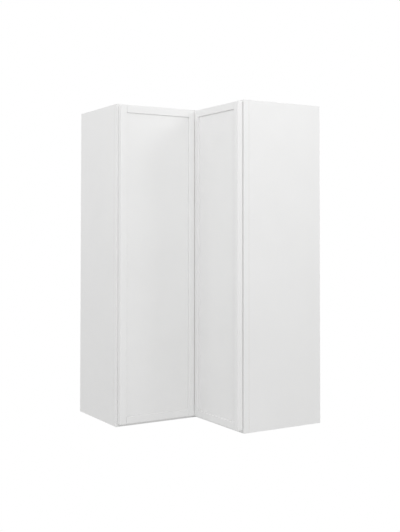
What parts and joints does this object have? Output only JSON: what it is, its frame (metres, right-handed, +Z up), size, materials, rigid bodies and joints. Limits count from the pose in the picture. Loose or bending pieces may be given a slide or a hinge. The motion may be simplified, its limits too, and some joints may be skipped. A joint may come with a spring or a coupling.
{
  "type": "corner wall cabinet",
  "caption": "L-plan corner wall cabinet with a face frame, slim shaker doors that meet in the inside corner and fold together, and adjustable L-shaped shelves.",
  "frame": {"origin": "on the underside, below the inside corner of the case front, which is the middle of the square that the plan fills", "axes": "+X along the right-hand leg, +Y towards the wall behind that leg, +Z up; the left door faces +X and the right door faces -Y"},
  "size_m": [0.61, 0.61, 1.067],
  "materials": {
    "white_paint": "satin white paint over wood",
    "plywood": "clear-coated maple plywood",
    "nickel": "nickel-plated steel",
    "bumper": "clear soft silicone"
  },
  "bodies": {
    "case": {"end_panel_right": "white_paint", "end_panel_left": "white_paint", "top_panel": "plywood", "bottom_panel": "plywood", "back_panel_left": "plywood", "back_panel_right": "plywood", "hanging_rail_left_top": "plywood", "hanging_rail_left_bottom": "plywood", "hanging_rail_right_top": "plywood", "hanging_rail_right_bottom": "plywood", "frame_stile_right": "white_paint", "frame_stile_left": "white_paint", "frame_top_rail_right": "white_paint", "frame_top_rail_left": "white_paint", "frame_bottom_rail_right": "white_paint", "frame_bottom_rail_left": "white_paint", "shelf_1": "plywood", "shelf_2": "plywood", "shelf_3": "plywood", "shelf_1_support_right_front": "nickel", "shelf_1_support_right_rear": "nickel", "shelf_1_support_left_front": "nickel", "shelf_1_support_left_rear": "nickel", "shelf_1_support_corner": "nickel", "shelf_2_support_right_front": "nickel", "shelf_2_support_right_rear": "nickel", "shelf_2_support_left_front": "nickel", "shelf_2_support_left_rear": "nickel", "shelf_2_support_corner": "nickel", "shelf_3_support_right_front": "nickel", "shelf_3_support_right_rear": "nickel", "shelf_3_support_left_front": "nickel", "shelf_3_support_left_rear": "nickel", "shelf_3_support_corner": "nickel", "frame_hinge_arm_1": "nickel", "frame_hinge_arm_2": "nickel", "frame_hinge_arm_3": "nickel"},
    "left_door": {"left_door_inner_stile": "white_paint", "left_door_outer_stile": "white_paint", "left_door_bottom_rail": "white_paint", "left_door_top_rail": "white_paint", "left_door_panel": "white_paint", "frame_hinge_cup_1": "nickel", "frame_hinge_cup_2": "nickel", "frame_hinge_cup_3": "nickel", "fold_hinge_arm_1": "nickel", "fold_hinge_arm_2": "nickel", "fold_hinge_arm_3": "nickel"},
    "right_door": {"right_door_outer_stile": "white_paint", "right_door_inner_stile": "white_paint", "right_door_bottom_rail": "white_paint", "right_door_top_rail": "white_paint", "right_door_panel": "white_paint", "fold_hinge_cup_1": "nickel", "fold_hinge_cup_2": "nickel", "fold_hinge_cup_3": "nickel", "door_bumper_bottom": "bumper", "door_bumper_top": "bumper"}
  },
  "joints": [
    {"name": "door_swing", "type": "hinge", "parent": "case", "child": "left_door", "pos_m": [0.0103, -0.299, 0.5355], "axis": [0, 0, -1], "range_deg": [0, 165]},
    {"name": "door_fold", "type": "hinge", "parent": "left_door", "child": "right_door", "pos_m": [0.0188, -0.0188, 0.5355], "axis": [0, 0, 1], "range_deg": [0, 90]}
  ],
  "couplings": [
    {"joint": "door_fold", "follows": "door_swing", "ratio": 0.5454}
  ]
}
